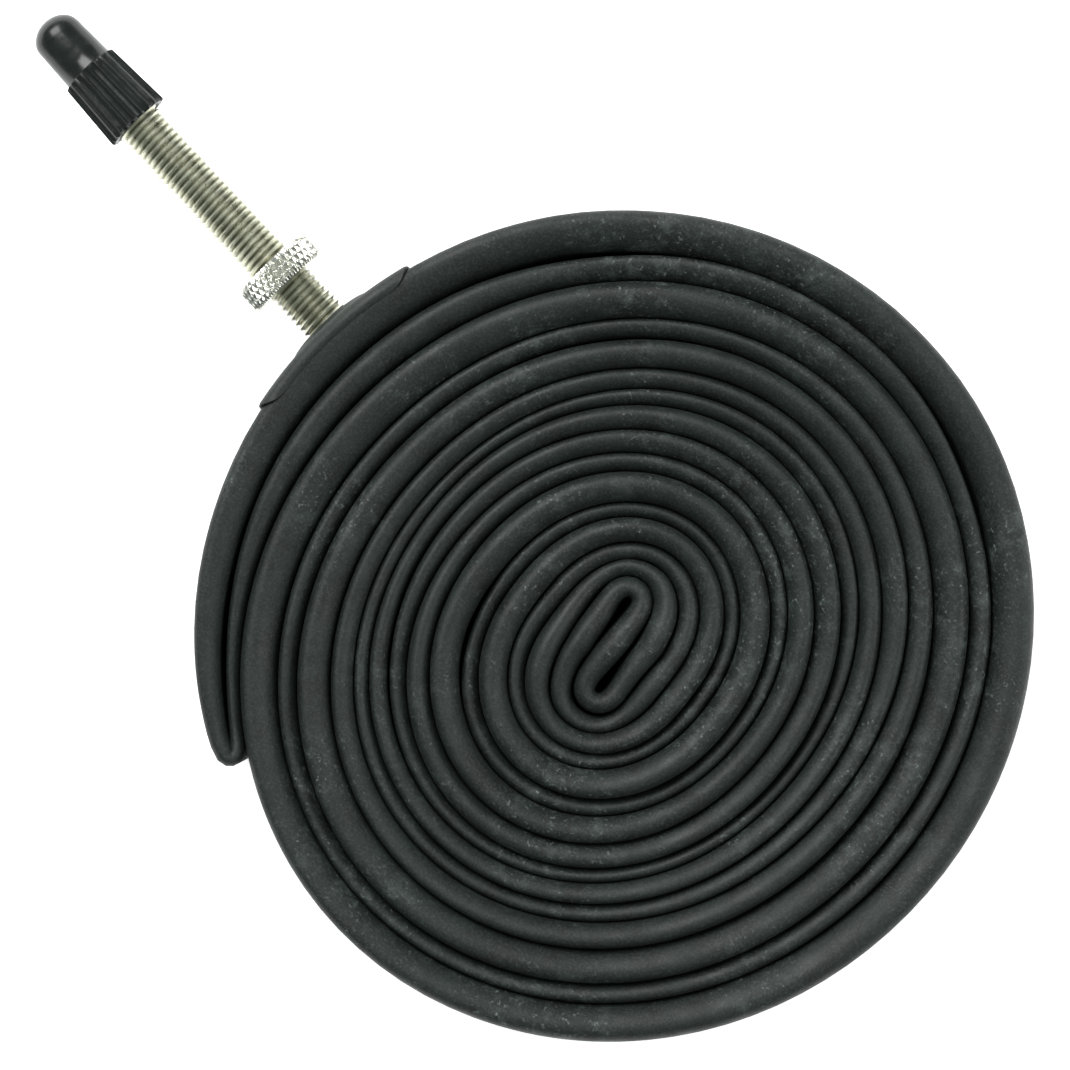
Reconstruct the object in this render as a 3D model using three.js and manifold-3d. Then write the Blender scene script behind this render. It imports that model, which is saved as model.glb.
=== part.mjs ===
// A bicycle inner tube rolled up flat, with its valve standing out of the roll.
//
// Millimetres, +Z up. The roll lies on its side: its winding axis is +Z, its lower edge rests on
// z = 0 and the origin is the middle of the roll. +X is the way the valve stem points.
//
// The tube is one closed loop pressed flat, laid double (an inner and an outer strand) and rolled
// up counter-clockwise from a hairpin in the core to a hairpin on the outside. Seen along +Z two
// thin slits wind outwards side by side: `turns` parts one turn from the next, and `strands`
// parts the two strands of the doubled loop.

import * as THREE from 'three';
import { mergeVertices } from 'three/addons/utils/BufferGeometryUtils.js';
import Module from 'manifold-3d';

const wasm = await Module();
wasm.setup();

// ---- Roll ---------------------------------------------------------------------------------
const FLAT_WIDTH = 38;          // width of the tube when it is pressed flat, the height of the roll
const CORE_AXIS = -73.2;        // direction of the straight strand through the middle, degrees
const CORE_HALF = 1.75;         // half the thickness of that strand
const AXIS_DRIFT = 0.5;         // degrees the roll's long axis turns back in each quarter turn
const SLIT = 0.3;               // clearance between neighbouring strands
const STEP = 15;                // degrees between two points of a strand
const EDGE = { size: 0.5, thickness: 0.9 };   // soft fold along the tube's two edges

// Radius of each slit, one value every quarter turn from the core outwards
const TURNS = [
  5.9, 1.7, 8.6, 4.9, 10.5, 7.8, 13.2, 11.0, 15.4, 13.6, 18.5, 16.6, 20.7, 19.4, 24.0, 21.6, 25.8, 24.2,
  28.7, 26.3, 31.2, 28.0, 33.1, 31.5, 37.1, 34.1, 40.0, 39.0, 43.8, 41.2, 46.3, 46.6, 51.3, 49.8, 48.5];
const STRANDS = [
  6.4, 1.7, 8.3, 4.9, 10.8, 7.8, 12.6, 10.2, 15.0, 13.0, 17.2, 15.6, 20.6, 18.5, 22.9, 21.8, 26.9, 24.5,
  29.0, 26.4, 31.1, 29.0, 33.8, 30.4, 36.0, 34.8, 39.6, 36.5, 42.1, 41.6, 46.5, 44.9, 46.5];
const TURNS_START = 15;         // degrees past the first value where a slit opens in the core
const SILHOUETTE_START = 2661;  // from here the `turns` line is the outside of the roll
const BAND_END = 3012;          // the doubled band ends here in the outer hairpin
const STRANDS_END = 2829;       // the slit between the strands ends inside that hairpin
const CORE_EYE = 0.55;          // half width of the open eye inside each core fold

// ---- Valve --------------------------------------------------------------------------------
const VALVE = { y: -1.33, z: FLAT_WIDTH / 2 };  // the stem's axis, which runs along +X
const TUBE_FACE = 49.8;         // where that axis leaves the outermost strand
const PATCH = { from: -15, to: 13, height: 35, width: 28, corner: 5, gap: 0.3, thickness: 0.7 };
const BOSS = { base: 7.5, top: 4.4, face: 51.7 };
const FOOT = { radius: 5.5, start: 50.1, end: 50.6 };
const STEM = { radius: 2.95, end: 88.5, bore: 1.3, seatBore: 2.0, seat: 70 };
const CORE = { barrel: 1.7, neck: 2.45, bore: 1.1, start: 78, shoulder: 88.8, end: 92.5, flats: 2.1 };
const CORE_SEAL = { start: 76.7, end: 77.7 };
const PIN = { radius: 0.8, start: 73.4, end: 97.8 };
const PIN_SEAL = { radius: 1.6, start: 75.1, end: 76.2 };
const PIN_FOOT = { radius: 1.7, start: 73.7, end: 74.8 };
const PIN_NUT = { radius: 2.1, start: 92.8, end: 96.6, teeth: 16, tooth: 0.18 };
const RIM_NUT = { radius: 5.25, start: 57.7, end: 60.9, teeth: 30, tooth: 0.2, chamfer: 0.5 };
const CAP = {
  mouth: 84.1, step: 92.75, tip: 100.5, mouthRadius: 4.15, skirtRadius: 3.7, domeRadius: 3.25,
  tipRadius: 3.0, ribs: 20, ribDepth: 0.3, wide: 3.25, wideEnd: 89.2, narrow: 2.75, narrowEnd: 93.1,
  top: 2.4, topEnd: 98.7,
};
const CLEAR = 0.3;              // gap kept round every piece that sits in another
const CHAMFER = 0.3;            // on the turned ends of the stem, core, pin and pin nut

const RUBBER = { color: 0x30373a, roughness: 0.55, metalness: 0 };
const BRASS = { color: 0x8d8f7c, roughness: 0.35, metalness: 1 };
const NICKEL = { color: 0xcfd2c4, roughness: 0.22, metalness: 1 };
const SEAL_RUBBER = { color: 0x1b1c1c, roughness: 0.7, metalness: 0 };
const PLASTIC = { color: 0x2b3130, roughness: 0.25, metalness: 0 };

const radians = (degrees) => (degrees * Math.PI) / 180;

// ---- Rolled strands -----------------------------------------------------------------------

// Smooth value of a list at a place between its entries (Catmull-Rom)
function between(list, place) {
  const k = Math.min(Math.floor(place), list.length - 2);
  const t = place - k;
  const before = list[Math.max(k - 1, 0)];
  const after = list[Math.min(k + 2, list.length - 1)];
  const leave = (list[k + 1] - before) / 2;
  const arrive = (after - list[k]) / 2;
  return (2 * t ** 3 - 3 * t ** 2 + 1) * list[k] + (t ** 3 - 2 * t ** 2 + t) * leave
    + (3 * t ** 2 - 2 * t ** 3) * list[k + 1] + (t ** 3 - t ** 2) * arrive;
}

// Radius of a slit after `turned` degrees; beside the core strand it is a straight line
function slitRadius(list, turned) {
  const quarter = 90 - AXIS_DRIFT;
  const radius = between(list, turned / quarter);
  const straight = CORE_HALF / Math.sin(radians(turned));
  return turned < 180 ? Math.min(radius, straight) : radius;
}

// A point of a slit, moved `outwards` square to the line
function slitPoint(list, start, turned, outwards) {
  const at = (degrees) => {
    const radius = slitRadius(list, degrees);
    const angle = radians(start + degrees);
    return new THREE.Vector2(radius * Math.cos(angle), radius * Math.sin(angle));
  };
  const along = at(turned + 0.5).sub(at(turned - 0.5)).normalize();
  return at(turned).add(new THREE.Vector2(along.y, -along.x).multiplyScalar(outwards));
}

// Half the width of a slit: a narrow gap that opens into an eye at its core end
function halfWidth(turned) {
  const eye = Math.exp(-(((turned - TURNS_START - 14) / 14) ** 2));
  return SLIT / 2 + (CORE_EYE - SLIT / 2) * eye;
}

// One side of a slit, with its points at the same angles on both sides so that they stay parallel
function slitLine(list, start, from, to, side) {
  const stations = [from];
  for (let turned = (Math.floor(from / STEP) + 1) * STEP; turned < to - 1; turned += STEP) {
    stations.push(turned);
  }
  stations.push(to);
  return stations.map((turned) => slitPoint(list, start, turned, side * halfWidth(turned)));
}

// The outer hairpin: half a circle from the outside of the roll round to its inside
function hairpin() {
  const outside = slitPoint(TURNS, CORE_AXIS, BAND_END, 0);
  const inside = slitPoint(TURNS, CORE_AXIS, BAND_END - 360, SLIT / 2);
  const middle = outside.clone().add(inside).multiplyScalar(0.5);
  const arm = outside.clone().sub(middle);
  const points = [];
  for (let angle = 30; angle < 180; angle += 30) {
    points.push(arm.clone().rotateAround(new THREE.Vector2(), radians(angle)).add(middle));
  }
  return points;
}

// Outline of the whole roll, without its slits
function rollOutline() {
  const outside = slitLine(TURNS, CORE_AXIS, SILHOUETTE_START + 6, BAND_END, 0);
  return new THREE.Shape([...outside, ...hairpin(), slitPoint(TURNS, CORE_AXIS, BAND_END - 360, SLIT / 2)]);
}

// Outline of one slit: out along its inner side and back along its outer side
function slitOutline(list, start, end) {
  const inner = slitLine(list, start, TURNS_START, end, -1);
  const outer = slitLine(list, start, TURNS_START, end, 1).reverse();
  return new THREE.Shape([...outer, ...inner]);
}

// An outline raised to the tube's width, with its rim turned in or out at both edges of the tube
function raised(outline, rim, overshoot) {
  return new THREE.ExtrudeGeometry(outline, {
    depth: FLAT_WIDTH - 2 * EDGE.thickness,
    bevelThickness: EDGE.thickness + overshoot,
    bevelSize: -rim,
    bevelOffset: rim,
    bevelSegments: 1,
  }).translate(0, 0, EDGE.thickness);
}

// ---- Solids -------------------------------------------------------------------------------

function solid(geometry) {
  const bare = geometry.clone();
  bare.deleteAttribute('normal');
  bare.deleteAttribute('uv');
  const merged = mergeVertices(bare, 1e-4);
  return new wasm.Manifold(new wasm.Mesh({
    numProp: 3,
    vertProperties: new Float32Array(merged.attributes.position.array),
    triVerts: new Uint32Array(merged.index.array),
  }));
}

function geometryOf(manifold) {
  const { vertProperties, triVerts } = manifold.getMesh();
  const geometry = new THREE.BufferGeometry();
  geometry.setAttribute('position', new THREE.BufferAttribute(vertProperties, 3));
  geometry.setIndex(new THREE.BufferAttribute(triVerts, 1));
  return geometry;
}

// A turned piece about the stem's axis, from [x, radius] pairs: out along its bore, back outside
function turned(profile, segments = 24) {
  const points = profile.map(([x, radius]) => new THREE.Vector2(radius, x)).reverse();
  points.push(points[0].clone());
  const lathe = new THREE.LatheGeometry(points, segments);
  return lathe.rotateZ(-Math.PI / 2).translate(0, VALVE.y, VALVE.z);
}

function sleeve(start, end, inner, outer, segments) {
  return turned([[start, inner], [end, inner], [end, outer], [start, outer]], segments);
}

// Teeth round a turned piece: every second row of its outer points moves in by `depth`
function toothed(geometry, segments, isTooth, depth) {
  const place = geometry.attributes.position;
  const offset = new THREE.Vector2();
  for (let i = 0; i < place.count; i += 1) {
    offset.set(place.getY(i) - VALVE.y, place.getZ(i) - VALVE.z);
    const row = Math.round((offset.angle() * segments) / (2 * Math.PI));
    if (row % 2 === 1 && isTooth(place.getX(i), offset.length())) {
      offset.setLength(offset.length() - depth);
      place.setY(i, offset.x + VALVE.y);
      place.setZ(i, offset.y + VALVE.z);
    }
  }
  return geometry;
}

function tube() {
  const turns = slitOutline(TURNS, CORE_AXIS, SILHOUETTE_START + 5);
  const strands = slitOutline(STRANDS, CORE_AXIS + 180, STRANDS_END);
  const valveHole = sleeve(TUBE_FACE - 1.6, TUBE_FACE + 1, 0, STEM.bore, 12);
  return geometryOf(solid(raised(rollOutline(), -EDGE.size, 0))
    .subtract(solid(raised(turns, EDGE.size, 0.1)))
    .subtract(solid(raised(strands, EDGE.size, 0.1)))
    .subtract(solid(valveHole)));
}

// A thin rubber patch bent over the outermost strand, with a low boss round the stem
function valvePatch() {
  const line = (lift) => {
    const first = PATCH.from - CORE_AXIS + 8 * 360;
    const points = [];
    for (let turn = 0; turn <= PATCH.to - PATCH.from; turn += 4) {
      points.push(slitPoint(TURNS, CORE_AXIS, first + turn, lift));
    }
    return points;
  };
  const top = PATCH.gap + PATCH.thickness;
  const band = new THREE.Shape([...line(top), ...line(PATCH.gap).reverse()]);
  const sheet = new THREE.ExtrudeGeometry(band, { depth: PATCH.height, bevelEnabled: false });
  sheet.translate(0, 0, VALVE.z - PATCH.height / 2);
  const boss = turned([[FOOT.end, 0], [BOSS.face, 0], [BOSS.face, BOSS.top], [FOOT.end, BOSS.base]]);
  const pocket = sleeve(TUBE_FACE - 1, FOOT.end + CLEAR, 0, FOOT.radius + CLEAR);
  const hole = sleeve(TUBE_FACE, BOSS.face + 1, 0, STEM.radius + CLEAR);
  return geometryOf(solid(sheet).intersect(solid(patchOutline())).add(solid(boss))
    .subtract(solid(pocket)).subtract(solid(hole)));
}

// Rounded rectangle seen along +X, the trimmed outline of the patch
function patchOutline() {
  const half = { y: PATCH.width / 2, z: PATCH.height / 2 };
  const shape = new THREE.Shape();
  const r = PATCH.corner;
  shape.absarc(half.y - r, half.z - r, r, 0, Math.PI / 2);
  shape.absarc(-half.y + r, half.z - r, r, Math.PI / 2, Math.PI);
  shape.absarc(-half.y + r, -half.z + r, r, Math.PI, Math.PI * 1.5);
  shape.absarc(half.y - r, -half.z + r, r, Math.PI * 1.5, Math.PI * 2);
  const prism = new THREE.ExtrudeGeometry(shape, { depth: 20, curveSegments: 4, bevelEnabled: false });
  return prism.rotateX(Math.PI / 2).rotateZ(Math.PI / 2).translate(TUBE_FACE - 14, VALVE.y, VALVE.z);
}

function valveStem() {
  return turned([
    [FOOT.start, STEM.bore], [STEM.seat, STEM.bore], [STEM.seat, STEM.seatBore], [STEM.end, STEM.seatBore],
    [STEM.end, STEM.radius - CHAMFER], [STEM.end - CHAMFER, STEM.radius], [FOOT.end, STEM.radius],
    [FOOT.end, FOOT.radius], [FOOT.start, FOOT.radius],
  ]);
}

// The valve core: a barrel inside the stem and a neck above it with two flats for a wrench
function coreBody() {
  const body = turned([
    [CORE.start, CORE.bore], [CORE.end, CORE.bore], [CORE.end, CORE.neck - CHAMFER],
    [CORE.end - CHAMFER, CORE.neck], [CORE.shoulder, CORE.neck], [CORE.shoulder, CORE.barrel],
    [CORE.start, CORE.barrel],
  ]);
  const slab = new THREE.BoxGeometry(40, 2 * CORE.flats, 20);
  slab.translate((CORE.start + CORE.end) / 2, VALVE.y, VALVE.z);
  return geometryOf(solid(body).intersect(solid(slab)));
}

function valvePin() {
  return turned([
    [PIN.start, 0], [PIN.end, 0], [PIN.end, PIN.radius - CHAMFER],
    [PIN.end - CHAMFER, PIN.radius], [PIN.start, PIN.radius],
  ], 12);
}

function pinNut() {
  const bore = PIN.radius + CLEAR;
  const segments = 2 * PIN_NUT.teeth;
  const blank = turned([
    [PIN_NUT.start, bore], [PIN_NUT.end, bore], [PIN_NUT.end, PIN_NUT.radius - CHAMFER],
    [PIN_NUT.end - CHAMFER, PIN_NUT.radius], [PIN_NUT.start + CHAMFER, PIN_NUT.radius],
    [PIN_NUT.start, PIN_NUT.radius - CHAMFER],
  ], segments);
  const onRim = (x, radius) => radius > PIN_NUT.radius - 0.1;
  return toothed(blank, segments, onRim, PIN_NUT.tooth);
}

function rimNut() {
  const { start, end, radius, chamfer, teeth, tooth } = RIM_NUT;
  const bore = STEM.radius + CLEAR;
  const blank = turned([
    [start, bore], [end, bore], [end, radius - chamfer], [end - chamfer, radius],
    [start + chamfer, radius], [start, radius - chamfer],
  ], 2 * teeth);
  return toothed(blank, 2 * teeth, (x, r) => r > radius - 0.1, tooth);
}

// The dust cap: a ribbed skirt that flares to its mouth, a step, and a smooth round-ended top
function dustCap() {
  const outside = [
    [CAP.tip, 0], [CAP.tip - 0.15, CAP.tipRadius * 0.45], [CAP.tip - 0.7, CAP.tipRadius * 0.8],
    [CAP.tip - 1.6, CAP.tipRadius], [CAP.step, CAP.domeRadius], [CAP.step, CAP.skirtRadius],
    [CAP.mouth, CAP.mouthRadius],
  ];
  const inside = [
    [CAP.mouth, CAP.wide], [CAP.wideEnd, CAP.wide], [CAP.wideEnd + 0.3, CAP.narrow],
    [CAP.narrowEnd, CAP.narrow], [CAP.narrowEnd + 0.3, CAP.top], [CAP.topEnd, CAP.top], [CAP.topEnd, 0],
  ];
  const blank = turned([...inside, ...outside], 2 * CAP.ribs);
  const onSkirt = (x, radius) => x <= CAP.step && radius > CAP.skirtRadius - 0.1;
  return toothed(blank, 2 * CAP.ribs, onSkirt, CAP.ribDepth);
}

// ---- Assembly -----------------------------------------------------------------------------

const PIECES = [
  ['tube', tube(), RUBBER],
  ['valve_patch', valvePatch(), RUBBER],
  ['valve_stem', valveStem(), BRASS],
  ['rim_nut', rimNut(), NICKEL],
  ['core_body', coreBody(), BRASS],
  ['core_seal', sleeve(CORE_SEAL.start, CORE_SEAL.end, CORE.bore, CORE.barrel, 16), SEAL_RUBBER],
  ['valve_pin', valvePin(), BRASS],
  ['pin_nut', pinNut(), NICKEL],
  ['pin_seal', sleeve(PIN_SEAL.start, PIN_SEAL.end, PIN.radius + CLEAR, PIN_SEAL.radius, 16), SEAL_RUBBER],
  ['pin_foot', sleeve(PIN_FOOT.start, PIN_FOOT.end, PIN.radius + CLEAR, PIN_FOOT.radius, 16), BRASS],
  ['dust_cap', dustCap(), PLASTIC],
];

const innerTube = new THREE.Group();
for (const [name, geometry, finish] of PIECES) {
  const mesh = new THREE.Mesh(geometry, new THREE.MeshStandardMaterial(finish));
  mesh.name = name;
  innerTube.add(mesh);
}

export default innerTube;
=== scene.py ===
"""A rolled-up bicycle inner tube with its long threaded valve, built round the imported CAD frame.

Metres, +Z up. The roll lies on its side round the Z axis and the valve stem points along +X.
Lengths named in millimetres are turned to metres by MM.
"""

import math

import bmesh
import bpy
from mathutils import Matrix, Vector


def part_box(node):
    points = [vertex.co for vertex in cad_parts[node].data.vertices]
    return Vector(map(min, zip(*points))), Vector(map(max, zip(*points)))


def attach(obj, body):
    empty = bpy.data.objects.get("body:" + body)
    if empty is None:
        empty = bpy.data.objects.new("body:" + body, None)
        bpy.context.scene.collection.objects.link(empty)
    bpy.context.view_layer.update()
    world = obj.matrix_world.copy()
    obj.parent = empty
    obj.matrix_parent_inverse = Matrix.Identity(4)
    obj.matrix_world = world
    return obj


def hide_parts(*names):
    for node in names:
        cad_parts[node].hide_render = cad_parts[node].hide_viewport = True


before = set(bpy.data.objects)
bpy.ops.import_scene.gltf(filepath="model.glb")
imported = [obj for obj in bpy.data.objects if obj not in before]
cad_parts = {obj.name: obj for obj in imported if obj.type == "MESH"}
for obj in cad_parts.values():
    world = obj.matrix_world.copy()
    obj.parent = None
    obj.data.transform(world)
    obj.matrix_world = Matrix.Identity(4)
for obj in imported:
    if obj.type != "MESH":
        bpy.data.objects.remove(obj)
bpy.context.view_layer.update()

MM = 0.001

# ---- Places taken from the frame ------------------------------------------------------------

STEM_LOW, STEM_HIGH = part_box("valve_stem")
AXIS = Vector((0.0, (STEM_LOW.y + STEM_HIGH.y) / 2, (STEM_LOW.z + STEM_HIGH.z) / 2))
NUT_LOW, NUT_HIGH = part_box("rim_nut")
CAP_LOW, CAP_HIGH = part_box("dust_cap")
CORE_LOW, CORE_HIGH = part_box("core_body")
PIN_LOW, PIN_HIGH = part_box("valve_pin")
PIN_NUT_LOW, PIN_NUT_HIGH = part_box("pin_nut")
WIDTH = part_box("tube")[1].z / MM

# ---- The roll, in millimetres: the same two slits as the CAD roll ----------------------------

CORE_AXIS = -73.2       # direction of the straight strand through the middle, degrees
CORE_HALF = 1.95        # half its thickness
AXIS_DRIFT = 0.5        # degrees the long axis turns back in each quarter turn
BAND_END = 3015         # degrees of winding at the outer hairpin
TURNS = (               # radius every quarter turn of the slit between one turn and the next
    5.9, 1.7, 8.6, 4.9, 10.5, 7.8, 13.2, 11.0, 15.4, 13.6, 18.5, 16.6,
    20.7, 19.4, 24.0, 21.6, 25.8, 24.2, 28.7, 26.3, 31.2, 28.0, 33.1, 31.5,
    37.1, 34.1, 40.0, 39.0, 43.8, 41.2, 46.3, 46.6, 51.3, 49.8, 48.5)
STRANDS = (             # the same for the slit between the two strands of one turn
    6.4, 1.7, 8.3, 4.9, 10.8, 7.8, 12.6, 10.2, 15.0, 13.0, 17.2, 15.6,
    20.6, 18.5, 22.9, 21.8, 26.9, 24.5, 29.0, 26.4, 31.1, 29.0, 33.8, 30.4,
    36.0, 34.8, 39.6, 36.5, 42.1, 41.6, 46.5, 44.9, 46.5)
CORE_TURNS = (          # degrees of winding and radius, round the first fold
    (141, 3.5), (159, 5.8), (166, 7.4), (177, 8.3), (188, 8.9), (199, 8.8), (213, 7.4), (224, 6.3),
    (238, 5.4), (257, 4.9), (284, 5.5), (308, 6.8), (325, 8.4), (340, 9.7), (358, 10.5))
CORE_STRANDS = (
    (122, 2.4), (148, 3.8), (156, 5.0), (163, 6.5), (175, 7.8), (184, 8.3), (193, 8.5), (201, 8.4),
    (209, 7.8), (219, 6.9), (230, 6.1), (242, 5.4), (269, 5.0), (292, 5.4), (312, 6.7), (325, 8.2),
    (340, 9.8), (358, 10.8))
CORE_STEPS = (3.6, 2.4, 1.2, 0.0, -1.2, -2.4, -3.6)    # along the straight strand
CORE_LEAD = ((1.3, 3.25, 3.2), (2.5, 3.2, 3.0), (3.8, 3.18, 2.8))  # into a fold: place, thickness
OVERLAP = 0.2           # each strand widens a little lower down, so that no light shows through
GAP = 0.05              # air between two strands that lie against each other
CORE_FOLD = (5.15, 1.1)  # centre of each core fold, along and across the middle strand
FOLD_RADIUS = 2.05      # from there to the middle of the strand that goes round it
FOLD_WALL = 2.35        # thickness of the strand in the fold
EYE = 0.85              # half width of the open eye in each fold, closed lower down
CORE_WALL = 3.2         # thickness of the straight strand between the folds

# Places where neighbouring strands stand apart: winding angle, its reach, extra half gap
STRAND_VOIDS = ((2846, 9, 0.45), (1195, 12, 0.4), (2917, 8, 0.5), (3000, 14, 0.35))
TURN_VOIDS = ((1560, 30, 0.1), (2190, 20, 0.12))

# A place names a spot of the loop: its winding angle, with OUTER_PLACE added on the outer strand
OUTER_PLACE = 4000
CORE_PLACE = 200.0
HAIRPIN_PLACE = 7000.0
LEAN_FROM = 430         # the strand stands upright before this place
PLACE_JUMP = 50         # neighbours further apart than this belong to different stretches
HAIRPIN_REACH = 1.2     # how far the hairpin bulges, in halves of its width
HAIRPIN_STEP = 0.35     # spacing of the cross-sections round the hairpin
PINCH_PLACE, PINCH_REACH, PINCH_DEPTH = 2908, 14, 2.2   # where a strand dives behind the valve


def between(values, place):
    """Smooth value of a list at a place between its entries (Catmull-Rom)."""
    k = min(int(place), len(values) - 2)
    t = place - k
    before = values[max(k - 1, 0)]
    after = values[min(k + 2, len(values) - 1)]
    leave = (values[k + 1] - before) / 2
    arrive = (after - values[k]) / 2
    return (
        (2 * t**3 - 3 * t**2 + 1) * values[k]
        + (t**3 - 2 * t**2 + t) * leave
        + (3 * t**2 - 2 * t**3) * values[k + 1]
        + (t**3 - t**2) * arrive
    )


def slit(values, turned):
    """Radius of a slit: straight beside the middle strand, round the fold, then by the list."""
    core = CORE_TURNS if values is TURNS else CORE_STRANDS
    if turned < core[0][0]:
        return CORE_HALF / math.sin(math.radians(turned))
    for (start, low), (end, high) in zip(core, core[1:]):
        if turned < end:
            return low + (high - low) * (turned - start) / (end - start)
    return between(values, turned / (90 - AXIS_DRIFT))


def slit_spot(values, turned, begins):
    """The same point of a slit on the plane; turned counts from the roll's own start."""
    radius = slit(values, max(turned - begins, 60))
    angle = math.radians(CORE_AXIS + turned)
    return Vector((math.cos(angle), math.sin(angle))) * radius


def nearest(line, spot):
    """The point of a polyline nearest to a spot."""
    best = None
    for start, end in zip(line, line[1:]):
        along = end - start
        share = min(1.0, max(0.0, (spot - start).dot(along) / along.length_squared))
        near = start + along * share
        if best is None or (near - spot).length < (best - spot).length:
            best = near
    return best


def void(places, turned):
    """Extra half gap of a slit at a winding angle."""
    return sum(size * math.exp(-(((turned - at) / reach) ** 2)) for at, reach, size in places)


def waviness(turned, seed, wave=70):
    """Slow irregular swing between -1 and 1 along the strand."""
    a = math.radians(turned)
    return (
        math.sin(a * 360 / wave * 0.31 + seed * 1.7)
        + 0.6 * math.sin(a * 360 / wave * 0.53 + seed * 2.9)
        + 0.4 * math.sin(a * 360 / wave * 0.97 + seed * 4.1)
    ) / 2


def strand(turned, inner):
    """One place of a strand, midway between its two slits: middle, thickness, place and voids."""
    window = range(turned - 32, turned + 33, 8)
    strands = [slit_spot(STRANDS, t, 180) for t in window]
    turns = [slit_spot(TURNS, t, 360 if inner else 0) for t in window]
    middle = (strands[4] + turns[4]) / 2
    for _ in range(4):
        one, other = nearest(strands, middle), nearest(turns, middle)
        middle = (one + other) / 2
    voids = (void(TURN_VOIDS, turned - (360 if inner else 0)), void(STRAND_VOIDS, turned))
    return middle, (one - other).length, turned + (0 if inner else OUTER_PLACE), voids


def core_points():
    """The strand's two folds in the core and the straight run between them."""
    along, across = CORE_FOLD
    fold = []
    for i in range(9):
        turn = math.radians(90 - 22.5 * i)
        x, y = along + FOLD_RADIUS * math.cos(turn), across + FOLD_RADIUS * math.sin(turn)
        fold.append((x, y, FOLD_WALL))
    slope = (across - FOLD_RADIUS) / along
    straight = [(x, x * slope, CORE_WALL) for x in CORE_STEPS]
    fold = list(CORE_LEAD) + fold
    points = fold + straight + [(-x, -y, wall) for x, y, wall in reversed(fold)]
    spin = Matrix.Rotation(math.radians(CORE_AXIS), 2)
    return [
        (spin @ Vector((x, y)), wall + 2 * EYE, CORE_PLACE, (EYE, EYE)) for x, y, wall in points
    ]


def hairpin_points():
    """The band's outer end, where the loop turns back on itself."""
    outer, outer_wall, _, _ = strand(BAND_END, False)
    inner, inner_wall, _, _ = strand(BAND_END, True)
    middle = (outer + inner) / 2
    arm = outer - middle
    ahead = Vector((-arm.y, arm.x)) * HAIRPIN_REACH
    wall = (outer_wall + inner_wall) / 2
    points = []
    for i in range(1, 8):
        turn = math.pi * i / 8
        spot = middle + arm * math.cos(turn) + ahead * math.sin(turn)
        points.append((spot, wall, HAIRPIN_PLACE, (0.0, 0.0)))
    return points


def loop_path():
    """The whole closed loop, as even steps along the middle of the strand."""
    points = [strand(turned, True) for turned in range(BAND_END, 448, -4)]
    points += core_points()
    points += [strand(turned, False) for turned in range(270, BAND_END, 4)]
    points += hairpin_points()
    for _ in range(3):
        points = [
            (
                (points[i - 1][0] + 2 * p[0] + points[(i + 1) % len(points)][0]) / 4,
                (points[i - 1][1] + 2 * p[1] + points[(i + 1) % len(points)][1]) / 4,
                *p[2:],
            )
            for i, p in enumerate(points)
        ]
    return even_steps(points)


def even_steps(points):
    """The same closed line with a step that grows with the distance from the core."""
    out = []
    left = 0.0
    for i, start in enumerate(points):
        end = points[(i + 1) % len(points)]
        span = (end[0] - start[0]).length
        while left < span:
            share = left / span
            middle = start[0].lerp(end[0], share)
            wall = start[1] + (end[1] - start[1]) * share
            onward = end[2] - start[2]
            place = start[2] if abs(onward) > PLACE_JUMP else start[2] + onward * share
            out.append((middle, wall, place, start[3]))
            at_hairpin = start[2] == HAIRPIN_PLACE
            left += HAIRPIN_STEP if at_hairpin else min(1.5, 0.45 + 0.03 * middle.length)
        left -= span
    return out


# ---- Mesh helpers -----------------------------------------------------------------------------


def finish_mesh(bm, name, body, material, replaces, smooth_angle=40):
    """Makes the piece from its bmesh, in place, and hangs it on its body."""
    bmesh.ops.recalc_face_normals(bm, faces=bm.faces)
    mesh = bpy.data.meshes.new(name)
    bm.to_mesh(mesh)
    bm.free()
    mesh.shade_smooth()
    mesh.set_sharp_from_angle(angle=math.radians(smooth_angle))
    mesh.materials.append(material)
    piece = bpy.data.objects.new(name, mesh)
    bpy.context.scene.collection.objects.link(piece)
    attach(piece, body)
    if replaces:
        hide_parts(*replaces)
    return piece


def wrapped_grid(along, round_, place, closed_along=False, cap_ends=False):
    """A grid whose second direction closes on itself; place(i, j) gives each point."""
    bm = bmesh.new()
    bmesh.ops.create_grid(bm, x_segments=along, y_segments=round_, size=1)
    for vert in bm.verts:
        i = round((vert.co.x + 1) / 2 * along)
        j = round((vert.co.y + 1) / 2 * round_)
        vert.co = place(i % along if closed_along else i, j % round_)
    bmesh.ops.remove_doubles(bm, verts=bm.verts, dist=1e-7)
    if cap_ends:
        bmesh.ops.holes_fill(bm, edges=bm.edges, sides=0)
    return bm


def turned_piece(profile, steps):
    """A profile of (x, radius) pairs in millimetres spun round the stem's axis."""
    bm = bmesh.new()
    verts = [bm.verts.new((x * MM, AXIS.y + radius * MM, AXIS.z)) for x, radius in profile]
    edges = [bm.edges.new(pair) for pair in zip(verts, verts[1:])]
    bmesh.ops.spin(
        bm, geom=verts + edges, cent=AXIS, axis=(1, 0, 0), angle=2 * math.pi, steps=steps,
        use_merge=True,
    )
    bmesh.ops.remove_doubles(bm, verts=bm.verts, dist=1e-6)
    return bm


def rounded(profile, radius, closed=False):
    """The profile with each inner corner cut by a short arc of three points."""
    out = []
    count = len(profile)
    for i, corner in enumerate(profile):
        if not closed and i in (0, count - 1):
            out.append(corner)
            continue
        here = Vector(corner)
        before = Vector(profile[i - 1]) - here
        after = Vector(profile[(i + 1) % count]) - here
        cut = min(radius, before.length / 2.2, after.length / 2.2)
        start = here + before.normalized() * cut
        end = here + after.normalized() * cut
        out += [tuple(start), tuple(start * 0.25 + here * 0.5 + end * 0.25), tuple(end)]
    return out


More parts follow.
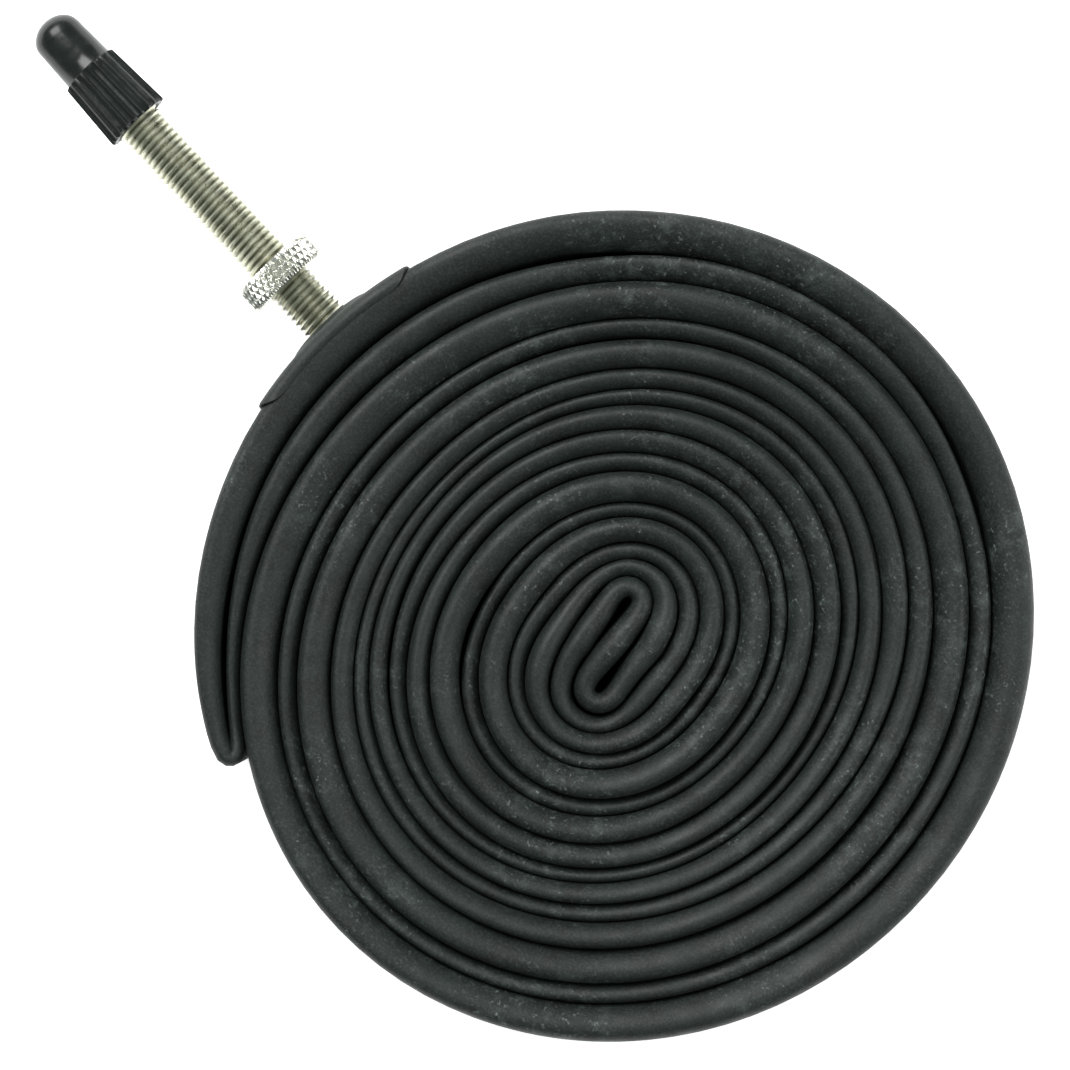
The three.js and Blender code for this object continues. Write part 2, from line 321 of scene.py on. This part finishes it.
def polar_round_stem(point):
    """Radius and angle of a point round the stem's axis."""
    y, z = point.y - AXIS.y, point.z - AXIS.z
    return math.hypot(y, z), math.atan2(z, y)


def set_radius(vert, radius, angle):
    vert.co.y = AXIS.y + radius * math.cos(angle)
    vert.co.z = AXIS.z + radius * math.sin(angle)


def thread(start, end, crest, root, pitch, steps=32):
    """A right-hand thread: one pitch of profile wound along the axis and trimmed square."""
    half = pitch / 2
    lead = math.ceil((end - start) / pitch) + 2
    tooth = (
        (0.0, root), (0.2 * half, root + 0.04), (0.72 * half, crest - 0.05),
        (0.9 * half, crest), (1.1 * half, crest),
        (1.28 * half, crest - 0.05), (1.8 * half, root + 0.04), (pitch, root),
    )
    bm = bmesh.new()
    verts = [
        bm.verts.new(((start - pitch + x) * MM, AXIS.y + radius * MM, AXIS.z))
        for x, radius in tooth
    ]
    edges = [bm.edges.new(pair) for pair in zip(verts, verts[1:])]
    bmesh.ops.spin(
        bm, geom=verts + edges, cent=AXIS, axis=(1, 0, 0), angle=2 * math.pi * lead,
        steps=steps * lead, dvec=(pitch / steps * MM, 0, 0),
    )
    bmesh.ops.remove_doubles(bm, verts=bm.verts, dist=2e-6)
    for place, normal in ((start, -1), (end, 1)):
        bmesh.ops.bisect_plane(
            bm, geom=bm.verts[:] + bm.edges[:] + bm.faces[:], dist=1e-8,
            plane_co=(place * MM, 0, 0), plane_no=(normal, 0, 0), clear_outer=True,
        )
    bmesh.ops.holes_fill(bm, edges=bm.edges, sides=0)
    return bm


def join(bm, other):
    """Adds another bmesh to this one."""
    mesh = bpy.data.meshes.new("part")
    other.to_mesh(mesh)
    other.free()
    bm.from_mesh(mesh)
    bpy.data.meshes.remove(mesh)


# ---- Materials ---------------------------------------------------------------------------------


def linear(hex_colour):
    """An sRGB hex colour as linear RGBA."""
    channels = []
    for place in (0, 2, 4):
        value = int(hex_colour[place : place + 2], 16) / 255
        channels.append(value / 12.92 if value <= 0.04045 else ((value + 0.055) / 1.055) ** 2.4)
    return (*channels, 1.0)


def node(tree, kind, inputs=None, **settings):
    """Adds a node with its settings; inputs are values or the sockets that feed them."""
    made = tree.nodes.new(kind)
    for name, value in settings.items():
        setattr(made, name, value)
    for name, value in (inputs or {}).items():
        if isinstance(value, bpy.types.NodeSocket):
            tree.links.new(value, made.inputs[name])
        else:
            made.inputs[name].default_value = value
    return made


def new_material(name):
    """A material with its Principled shader and the Object coordinates its patterns read."""
    material = bpy.data.materials.new(name)
    material.use_nodes = True
    tree = material.node_tree
    shader = tree.nodes["Principled BSDF"]
    place = node(tree, "ShaderNodeTexCoord").outputs["Object"]
    return material, tree, shader, place


def noise(tree, place, size_mm, detail=4.0, roughness=0.55):
    """Noise whose blobs are about size_mm across."""
    made = node(
        tree, "ShaderNodeTexNoise",
        {"Vector": place, "Scale": 1 / (size_mm * MM), "Detail": detail, "Roughness": roughness},
    )
    return made.outputs["Fac"]


def ramp(tree, fac, low, high, low_value=0.0, high_value=1.0):
    """Maps low..high of a pattern to two values, clamped."""
    return node(
        tree, "ShaderNodeMapRange",
        {
            "Value": fac, "From Min": low, "From Max": high,
            "To Min": low_value, "To Max": high_value,
        },
    ).outputs["Result"]


def times(tree, a, b):
    return node(tree, "ShaderNodeMath", {0: a, 1: b}, operation="MULTIPLY").outputs["Value"]


def mix(tree, fac, a, b):
    """Two colours mixed by a pattern."""
    made = tree.nodes.new("ShaderNodeMix")
    made.data_type = "RGBA"
    for socket, value in ((made.inputs["Factor"], fac), (made.inputs[6], a), (made.inputs[7], b)):
        if isinstance(value, bpy.types.NodeSocket):
            tree.links.new(value, socket)
        else:
            socket.default_value = value
    return made.outputs[2]


def bump(tree, height, distance_mm, strength=1.0, normal=None):
    inputs = {"Height": height, "Distance": distance_mm * MM, "Strength": strength}
    if normal is not None:
        inputs["Normal"] = normal
    return node(tree, "ShaderNodeBump", inputs).outputs["Normal"]


def butyl_rubber(name, base, cloudy, talc_amount):
    """Cured butyl rubber: a dull dark green-grey skin, cloudy from handling, dusted with talc."""
    material, tree, shader, place = new_material(name)
    cloud = ramp(tree, noise(tree, place, 5, 6, 0.68), 0.38, 0.62)
    colour = mix(tree, cloud, linear(base), linear(cloudy))
    # A thin film of talc left all over, as grains a quarter of a millimetre across
    film = ramp(tree, noise(tree, place, 0.3, 2, 0.6), 0.44, 0.74, 0.0, 0.13)
    colour = mix(tree, film, colour, linear("6a7672"))
    # Rubbed patches a couple of centimetres across, where it gathers in specks and short smears
    patch = ramp(tree, noise(tree, place, 18, 4, 0.6), 0.46, 0.62)
    haze = times(tree, patch, ramp(tree, noise(tree, place, 2.4, 5, 0.7), 0.48, 0.72, 0.0, 0.36))
    colour = mix(tree, haze, colour, linear("66716e"))
    specks = ramp(tree, noise(tree, place, 0.6, 3, 0.7), 0.67 - talc_amount, 0.78, 0.0, 0.8)
    colour = mix(tree, times(tree, patch, specks), colour, linear("8a938f"))
    normal = bump(tree, noise(tree, place, 7, 2), 0.5, 0.35)
    normal = bump(tree, noise(tree, place, 1.2, 6, 0.65), 0.14, 0.5, normal)
    gloss = ramp(tree, noise(tree, place, 4, 5), 0.3, 0.7, 0.54, 0.68)
    tree.links.new(colour, shader.inputs["Base Color"])
    tree.links.new(gloss, shader.inputs["Roughness"])
    tree.links.new(normal, shader.inputs["Normal"])
    shader.inputs["IOR"].default_value = 1.52
    return material


def vector_math(tree, operation, inputs, output="Vector"):
    made = node(tree, "ShaderNodeVectorMath", dict(enumerate(inputs)), operation=operation)
    return made.outputs[output]


def off_axis(tree, place):
    """Distance from the stem's axis."""
    offset = vector_math(tree, "SUBTRACT", (place, (0, AXIS.y, AXIS.z)))
    flat = vector_math(tree, "MULTIPLY", (offset, (0, 1, 1)))
    return vector_math(tree, "LENGTH", (flat,), "Value")


# Painted shade: a darker colour laid into the roots of a thread, where shade falls between its
# crests.
THREAD_ROOT_PAINTED_SHADE = "878674"


def nickel_plated_brass(name, bright, dull, roughness, grain, painted_shade_radii=None):
    """Nickel-plated brass: a warm grey metal, duller and browner where the plate is thin."""
    material, tree, shader, place = new_material(name)
    wear = ramp(tree, noise(tree, place, 2.2, 5, 0.6), 0.35, 0.7)
    colour = mix(tree, wear, linear(bright), linear(dull))
    if painted_shade_radii:      # radii, in millimetres, over which the painted shade in a thread's root fades out
        # Painted shade: the colour darkens towards the thread's root, by distance from the axis.
        unshaded_share = ramp(tree, off_axis(tree, place), painted_shade_radii[0] * MM, painted_shade_radii[1] * MM)
        colour = mix(tree, unshaded_share, linear(THREAD_ROOT_PAINTED_SHADE), colour)
    gloss = ramp(tree, noise(tree, place, 0.8, 4), 0.3, 0.75, roughness * 0.75, roughness * 1.35)
    grain = bump(tree, noise(tree, place, 0.25, 3), 0.02, grain)
    tree.links.new(colour, shader.inputs["Base Color"])
    tree.links.new(gloss, shader.inputs["Roughness"])
    tree.links.new(grain, shader.inputs["Normal"])
    shader.inputs["Metallic"].default_value = 1.0
    return material


def moulded_polypropylene():
    """Black polypropylene from a polished mould: glossy, with faint sink and handling haze."""
    material, tree, shader, place = new_material("polypropylene_moulded")
    haze = ramp(tree, noise(tree, place, 3, 4), 0.4, 0.7)
    colour = mix(tree, haze, linear("121615"), linear("1d2221"))
    gloss = ramp(tree, noise(tree, place, 1.2, 5), 0.35, 0.7, 0.2, 0.34)
    sink = bump(tree, noise(tree, place, 2.5, 2), 0.08, 0.4)
    tree.links.new(colour, shader.inputs["Base Color"])
    tree.links.new(gloss, shader.inputs["Roughness"])
    tree.links.new(sink, shader.inputs["Normal"])
    shader.inputs["IOR"].default_value = 1.49
    return material


def nitrile_seal():
    """Nitrile seal rubber: matt black with a ground surface."""
    material, tree, shader, place = new_material("nitrile_seal_rubber")
    colour = mix(tree, noise(tree, place, 0.6, 4), linear("101111"), linear("232525"))
    tree.links.new(colour, shader.inputs["Base Color"])
    tree.links.new(bump(tree, noise(tree, place, 0.3, 3), 0.03), shader.inputs["Normal"])
    shader.inputs["Roughness"].default_value = 0.7
    return material


# ---- The rubber --------------------------------------------------------------------------------

FOLD_POINTS = 11        # points over each folded edge of the tube
WALL_POINTS = 5         # points down each wall


def strand_section(wall, lean, top, foot, voids):
    """One cross-section of the flattened tube: (across, height) pairs, round both folds."""
    half = wall / 2 - GAP / 2
    right, left = half - voids[0], half - voids[1]      # a void narrows only the upper part
    fold = min(0.62 * (right + left) + 0.35, 3.2)
    points = []
    for i in range(FOLD_POINTS):
        turn = math.pi * i / (FOLD_POINTS - 1)
        across = (right if turn < math.pi / 2 else left) * math.cos(turn)
        across += (right - left) / 2 * math.sin(turn) + half * lean * math.sin(turn) ** 2
        points.append((across, top - fold + fold * math.sin(turn)))
    base = half + OVERLAP
    for i in range(1, WALL_POINTS):
        share = min(1.0, 2 * i / WALL_POINTS)
        height = top - fold + (foot + 2 * fold - top) * i / WALL_POINTS
        points.append((-left + (left - base) * share, height))
    for i in range(FOLD_POINTS):
        turn = math.pi * i / (FOLD_POINTS - 1)
        points.append((-base * math.cos(turn), foot + fold - fold * math.sin(turn)))
    for i in range(1, WALL_POINTS):
        share = max(0.0, 2 * i / WALL_POINTS - 1)
        height = foot + fold + (top - foot - 2 * fold) * i / WALL_POINTS
        points.append((base + (right - base) * share, height))
    return points


def strand_top(wall, place):
    """Height of the strand's upper fold: thin strands sit lower between their neighbours."""
    thin = min(1.8, max(0.0, 3.3 - wall))
    sunk = 0.35 + 1.2 * thin + PINCH_DEPTH * pinch(place)
    return WIDTH - sunk + 0.45 * waviness(place, 1.0)


def pinch(place):
    """How far the last turn's inner strand is pressed down where it dives behind the valve."""
    return math.exp(-(((place - PINCH_PLACE) / PINCH_REACH) ** 2))


def strand_lean(place, radius):
    """Lean of the upper fold: outwards on the outer turns, none in the core or the hairpin."""
    if place == HAIRPIN_PLACE or place < LEAN_FROM:
        return 0.0
    lean = min(0.42, 0.1 + 0.006 * radius) + 0.16 * waviness(place, 5.0, 90)
    return lean if place > OUTER_PLACE else -lean


def eased(values, reach=5):
    """Each value of a closed list averaged with its neighbours."""
    count = len(values)
    near = range(-reach, reach + 1)
    return [sum(values[(i + k) % count] for k in near) / len(near) for i in range(count)]


def rolled_tube(material):
    """The tube itself: one closed strand wound into the roll."""
    path = loop_path()
    count = len(path)
    leans = eased([strand_lean(place, middle.length) for middle, _, place, _ in path])
    tops = eased([strand_top(wall - sum(voids), place) for _, wall, place, voids in path])
    walls = eased([wall for _, wall, _, _ in path])
    rights = eased([voids[0] for *_, voids in path])
    lefts = eased([voids[1] for *_, voids in path])
    sections = []
    for i, (middle, *_) in enumerate(path):
        ahead = (path[(i + 1) % count][0] - path[i - 1][0]).normalized()
        across = Vector((ahead.y, -ahead.x))
        foot = 0.15 + 0.15 * math.sin(i / 23)
        voids = (rights[i], lefts[i])
        section = strand_section(max(walls[i], 1.0), leans[i], tops[i], foot, voids)
        sections.append((middle, across, section))
    round_ = len(sections[0][2])

    def point(i, j):
        middle, across, section = sections[i]
        sideways, height = section[j]
        spot = middle + across * sideways
        return Vector((spot.x * MM, spot.y * MM, height * MM))

    bm = wrapped_grid(count, round_, point, closed_along=True)
    return finish_mesh(bm, "rolled_tube", "roll", material, ["tube"], 60)


PATCH_TURNS = (2938, 2966)  # winding angles between which the patch lies
PATCH_FOOT = 2.5        # height of its lower edge
PATCH_WRAP = 1.75       # radians it reaches round the strand's upper fold
PATCH_LIFT = 0.4        # its thickness over the strand, feathered to nothing at the edge
PATCH_SINK = 0.08       # how far the feathered edge sits in the rubber
BOSS_HEIGHT, BOSS_RADIUS = 1.2, 6.6     # the thicker part round the stem


def patch_columns():
    """The strand under the patch, one entry a degree: middle, way out, (half, lean, top)."""
    columns = []
    for turned in range(PATCH_TURNS[0], PATCH_TURNS[1] + 2):
        middle, wall, place, _ = strand(turned, False)
        onward = strand(turned + 2, False)[0] - strand(turned - 2, False)[0]
        out = Vector((onward.y, -onward.x)).normalized()
        lean, top = strand_lean(place, middle.length), strand_top(wall, place)
        columns.append((middle, out, Vector((wall / 2 - GAP / 2, lean, top))))
    return columns


def valve_patch(material):
    """The patch: thin, bent over the strand's face and upper fold, thicker round the stem."""
    columns = patch_columns()
    bm = bmesh.new()
    bmesh.ops.create_grid(bm, x_segments=84, y_segments=100, size=1)
    for vert in bm.verts:
        u, v = vert.co.x, vert.co.y
        largest = max(abs(u), abs(v), 1e-6)
        corner = max(1.0, ((abs(u) / largest) ** 8 + (abs(v) / largest) ** 8) ** (1 / 8))
        u, v = u / corner, v / corner
        place = (PATCH_TURNS[1] - PATCH_TURNS[0]) * (u + 1) / 2
        k = int(place)
        middle, out, shape = (a.lerp(b, place - k) for a, b in zip(columns[k], columns[k + 1]))
        half, lean, top = shape
        fold = min(1.24 * half + 0.35, 3.2)
        rise = PATCH_FOOT + (v + 1) / 2 * (top - fold - PATCH_FOOT + fold * PATCH_WRAP)
        turn = max(0.0, (rise - top + fold) / fold)
        across = half * math.cos(turn) + half * lean * math.sin(turn) ** 2
        z = min(rise, top - fold) + fold * math.sin(turn)
        normal = Vector((math.cos(turn) / half, math.sin(turn) / fold)).normalized()
        spot = middle + out * across
        reach = math.hypot(spot.y - AXIS.y / MM, z - AXIS.z / MM)
        edge = 1 - max(abs(u), abs(v))
        lift = PATCH_LIFT * min(1.0, edge / 0.04) ** 0.5 - PATCH_SINK
        lift += BOSS_HEIGHT / (1 + (reach / BOSS_RADIUS) ** 8)
        spot += out * normal.x * lift
        vert.co = (spot.x * MM, spot.y * MM, (z + normal.y * lift) * MM)
    bmesh.ops.recalc_face_normals(bm, faces=bm.faces)
    if sum(f.normal.x for f in bm.faces) < 0:
        bmesh.ops.reverse_faces(bm, faces=bm.faces)
    bmesh.ops.solidify(bm, geom=bm.faces[:], thickness=0.3 * MM)
    return finish_mesh(
        bm, "patch_rubber", "roll", material, ["valve_patch"], 50
    )


# ---- The metal ---------------------------------------------------------------------------------

STEM_PITCH = 0.8
STEM_RADIUS = (STEM_HIGH.z - STEM_LOW.z) / 2 / MM   # of the foot
SHAFT_RADIUS = 2.95


def valve_stem(material):
    """The stem: a foot in the rubber, a full-length thread and a chamfered mouth."""
    foot = STEM_LOW.x / MM
    end = STEM_HIGH.x / MM
    bore = 2.0
    bm = thread(foot + 0.6, end - 0.5, SHAFT_RADIUS, SHAFT_RADIUS - 0.42, STEM_PITCH)
    disc = [(foot, 0), (foot, STEM_RADIUS), (foot + 0.5, STEM_RADIUS), (foot + 0.7, 0)]
    join(bm, turned_piece(rounded(disc, 0.15), 48))
    mouth = [
        (end - 0.6, 0), (end - 0.6, SHAFT_RADIUS - 0.4), (end - 0.15, SHAFT_RADIUS - 0.4),
        (end, SHAFT_RADIUS - 0.55), (end, bore), (end - 0.4, bore), (end - 0.4, 0),
    ]
    join(bm, turned_piece(mouth, 48))
    return finish_mesh(bm, "threaded_stem", "roll", material, ["valve_stem"], 32)


def diamond(u, v):
    """Height of a diamond knurl, 0 in its grooves and 1 on its points."""
    a = abs((u + v) % 1.0 - 0.5) * 2
    b = abs((u - v) % 1.0 - 0.5) * 2
    return min(1.0, 1.5 * min(1 - a, 1 - b))


def knurled_ring(start, end, bore, radius, teeth, rows, depth, chamfer, around, straight=False):
    """A ring with a knurled rim and chamfered edges."""
    width = end - start
    rim = 2 * rows + 4
    profile = [(start, bore), (start, radius - chamfer)]
    for i in range(rim + 1):
        profile.append((start + chamfer + (width - 2 * chamfer) * i / rim, radius))
    profile += [(end, radius - chamfer), (end, bore), (start, bore)]
    bm = turned_piece(profile, around)
    pitch = math.tau * radius / teeth
    for vert in bm.verts:
        r, angle = polar_round_stem(vert.co)
        if r > (radius - chamfer * 0.2) * MM:
            u = angle * teeth / math.tau
            v = 0.0 if straight else (vert.co.x / MM - start) / pitch / 1.9
            set_radius(vert, r - depth * MM * (1 - diamond(u, v)), angle)
    return bm


def rim_nut(material):
    """The thin round rim nut with a diamond knurl."""
    bm = knurled_ring(
        NUT_LOW.x / MM, NUT_HIGH.x / MM, SHAFT_RADIUS - 0.1,
        (NUT_HIGH.y - NUT_LOW.y) / 2 / MM,
        teeth=36, rows=13, depth=0.32, chamfer=0.4, around=432,
    )
    return finish_mesh(
        bm, "knurled_rim_nut", "rim_nut", material, ["rim_nut"], 30
    )


def pin_nut(material):
    """The small straight-knurled nut that locks the pin."""
    bm = knurled_ring(
        PIN_NUT_LOW.x / MM, PIN_NUT_HIGH.x / MM, 0.85,
        (PIN_NUT_HIGH.y - PIN_NUT_LOW.y) / 2 / MM,
        teeth=20, rows=2, depth=0.16, chamfer=0.3, around=160, straight=True,
    )
    return finish_mesh(
        bm, "knurled_pin_nut", "pin_nut", material, ["pin_nut"], 30
    )


def core_body(material):
    """The core: a threaded neck with two wrench flats over a smooth barrel."""
    low, high = CORE_LOW.x / MM, CORE_HIGH.x / MM
    neck = (CORE_HIGH.z - CORE_LOW.z) / 2 / MM
    shoulder = high - 3.7
    bm = thread(shoulder + 0.3, high - 0.4, neck, neck - 0.25, 0.6)
    flat = (CORE_HIGH.y - CORE_LOW.y) / 2 / MM
    barrel = [
        (low, 1.05), (low, 1.7), (shoulder, 1.7), (shoulder, neck - 0.2),
        (shoulder + 0.5, neck - 0.2), (shoulder + 0.5, 1.05),
    ]
    join(bm, turned_piece(barrel, 40))
    crown = [
        (high - 0.5, 0.9), (high - 0.5, neck - 0.2), (high - 0.15, neck - 0.25),
        (high, neck - 0.45), (high, 0.9),
    ]
    join(bm, turned_piece(crown, 40))
    for side in (-1, 1):
        cut = bmesh.ops.bisect_plane(
            bm, geom=bm.verts[:] + bm.edges[:] + bm.faces[:], dist=1e-8,
            plane_co=(0, AXIS.y + side * flat * MM, 0), plane_no=(0, side, 0), clear_outer=True,
        )
        rims = [e for e in cut["geom_cut"] if isinstance(e, bmesh.types.BMEdge)]
        bmesh.ops.holes_fill(bm, edges=rims, sides=0)
    return finish_mesh(bm, "core_neck", "roll", material, ["core_body"], 32)


def valve_pin(material):
    """The pin: threaded where the nut runs, plain below, with a peened tip."""
    low, high = PIN_LOW.x / MM, PIN_HIGH.x / MM
    bm = thread(CORE_HIGH.x / MM - 2.2, high - 0.5, 0.8, 0.66, 0.45, 20)
    shank = [(low, 0), (low, 0.68), (CORE_HIGH.x / MM - 2.0, 0.68), (CORE_HIGH.x / MM - 1.9, 0)]
    join(bm, turned_piece(shank, 24))
    tip = [(high - 0.6, 0), (high - 0.6, 0.72), (high - 0.25, 0.74), (high - 0.08, 0.5), (high, 0)]
    join(bm, turned_piece(rounded(tip, 0.1), 24))
    return finish_mesh(bm, "threaded_pin", "pin", material, ["valve_pin"], 32)


# ---- The dust cap ------------------------------------------------------------------------------

CAP_STEP = 7.75         # from the tip back to the step between dome and skirt
RIBS = 22


def rib_height(angle):
    """Rounded narrow ribs with wider flats between them, 0 between the ribs and 1 on a crest."""
    phase = (angle * RIBS / math.tau) % 1.0
    return math.exp(-(((phase - 0.5) / 0.17) ** 2))


def dust_cap(material):
    """The cap: a smooth round-ended top, a step, and a ribbed skirt that flares to its mouth."""
    tip, mouth = CAP_HIGH.x / MM, CAP_LOW.x / MM
    step = tip - CAP_STEP
    mouth_radius = (CAP_HIGH.z - CAP_LOW.z) / 2 / MM
    skirt_radius, dome_radius, end_radius = mouth_radius - 0.45, 3.25, 3.08
    profile = [(tip, 0.0)]
    for i in range(1, 9):
        turn = math.pi / 2 * i / 8
        profile.append((tip - 2.5 * (1 - math.cos(turn)), end_radius * math.sin(turn)))
    profile += [
        (tip - 4, 3.12), (tip - 6, 3.2), (step + 0.12, dome_radius), (step, dome_radius + 0.08),
        (step, skirt_radius - 0.3), (step - 0.08, skirt_radius - 0.08),
        (step - 0.25, skirt_radius),
    ]
    for i in range(1, 8):
        share = i / 8
        radius = skirt_radius + (mouth_radius - skirt_radius) * share
        profile.append((step + (mouth - step) * share, radius))
    profile += [
        (mouth + 0.2, mouth_radius), (mouth, mouth_radius - 0.2), (mouth, 3.35),
        (mouth + 0.25, 3.2),
    ]
    profile += [(mouth + 5.1, 3.2), (mouth + 5.4, 2.7), (mouth + 9.0, 2.7), (mouth + 9.3, 2.4)]
    profile += [(tip - 2.0, 2.3), (tip - 1.8, 0.0)]
    bm = turned_piece(profile, RIBS * 12)
    for vert in bm.verts:
        r, angle = polar_round_stem(vert.co)
        x = vert.co.x / MM
        if x < step - 0.02 and r > (skirt_radius - 0.35) * MM:
            fade = min(1.0, (step - x) / 0.3)
            set_radius(vert, r - 0.3 * MM * fade * (1 - rib_height(angle)), angle)
    return finish_mesh(bm, "ribbed_cap", "cap", material, ["dust_cap"], 42)


# ---- Build ---------------------------------------------------------------------------------------

TUBE_RUBBER = butyl_rubber("butyl_rubber_cured", "090f0d", "161f1c", 0.06)
PATCH_RUBBER = butyl_rubber("patch_rubber_vulcanised", "0e1512", "171f1c", 0.0)
# The stem's thread gets painted shade in its roots, 2.5 to 2.8 mm from the axis.
STEM_METAL = nickel_plated_brass(
    "nickel_plated_brass_thread", "e0e1d1", "d0cfbb", 0.32, 0.3, painted_shade_radii=(2.5, 2.8)
)
BRIGHT_METAL = nickel_plated_brass("nickel_plate_bright", "f4f4ec", "e2e1d6", 0.24, 0.1)
CORE_METAL = nickel_plated_brass("nickel_plated_brass_turned", "c9c3a4", "a79e79", 0.28, 0.2)
SEAL = nitrile_seal()
CAP_PLASTIC = moulded_polypropylene()

rolled_tube(TUBE_RUBBER)
valve_patch(PATCH_RUBBER)
valve_stem(STEM_METAL)
rim_nut(BRIGHT_METAL)
core_body(CORE_METAL)
valve_pin(CORE_METAL)
pin_nut(BRIGHT_METAL)
dust_cap(CAP_PLASTIC)
for cad_node, finish in (("core_seal", SEAL), ("pin_seal", SEAL), ("pin_foot", CORE_METAL)):
    for material_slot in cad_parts[cad_node].material_slots:
        material_slot.material = finish


# ---- Floor, light and camera --------------------------------------------------------------------


def floor():
    """A plain white surface under the roll."""
    bm = bmesh.new()
    bmesh.ops.create_grid(bm, x_segments=1, y_segments=1, size=3)
    mesh = bpy.data.meshes.new("floor")
    bm.to_mesh(mesh)
    bm.free()
    material, _, shader, _ = new_material("white_board")
    shader.inputs["Base Color"].default_value = linear("fbfbfa")
    shader.inputs["Roughness"].default_value = 0.9
    shader.inputs["Specular IOR Level"].default_value = 0.1
    shader.inputs["Emission Color"].default_value = linear("ffffff")
    shader.inputs["Emission Strength"].default_value = 0.7
    mesh.materials.append(material)
    board = bpy.data.objects.new("floor", mesh)
    bpy.context.scene.collection.objects.link(board)


def softbox(name, at, aim, size, watts):
    """A square soft light that looks at a point."""
    light = bpy.data.lights.new(name, "AREA")
    light.shape = "SQUARE"
    light.size = size
    light.energy = watts
    lamp = bpy.data.objects.new(name, light)
    lamp.location = at
    lamp.rotation_euler = (Vector(aim) - Vector(at)).to_track_quat("-Z", "Y").to_euler()
    bpy.context.scene.collection.objects.link(lamp)


def sky(strength):
    world = bpy.data.worlds.new("studio")
    world.use_nodes = True
    back = world.node_tree.nodes["Background"]
    back.inputs["Color"].default_value = linear("e9f4f0")
    back.inputs["Strength"].default_value = strength
    bpy.context.scene.world = world


CAMERA_AT = Vector((15.6, -2.1, 619)) * MM
CAMERA_ROLL = -133.2    # the stem points up and to the left
FRAME_WIDTH = 128.1 * MM    # seen at the height of the stem


def camera():
    data = bpy.data.cameras.new("camera")
    data.sensor_width = 36
    data.lens = 36 * (CAMERA_AT.z - AXIS.z) / FRAME_WIDTH
    data.clip_start = 0.01
    eye = bpy.data.objects.new("camera", data)
    eye.location = CAMERA_AT
    eye.rotation_euler = (0, 0, math.radians(CAMERA_ROLL))
    bpy.context.scene.collection.objects.link(eye)
    bpy.context.scene.camera = eye


floor()
sky(0.34)
UP_ANGLE = math.radians(CAMERA_ROLL + 90)
UP = Vector((math.cos(UP_ANGLE), math.sin(UP_ANGLE), 0))    # towards the top of the picture
RIGHT = Vector((UP.y, -UP.x, 0))
softbox("key", UP * 0.55 - RIGHT * 0.35 + Vector((0, 0, 0.7)), (0, 0, 0), 0.6, 8.5)
softbox("fill", RIGHT * 0.8 + Vector((0, 0, 0.6)), (0, 0, 0), 0.7, 4)
camera()
bpy.context.scene.view_settings.view_transform = "Standard"
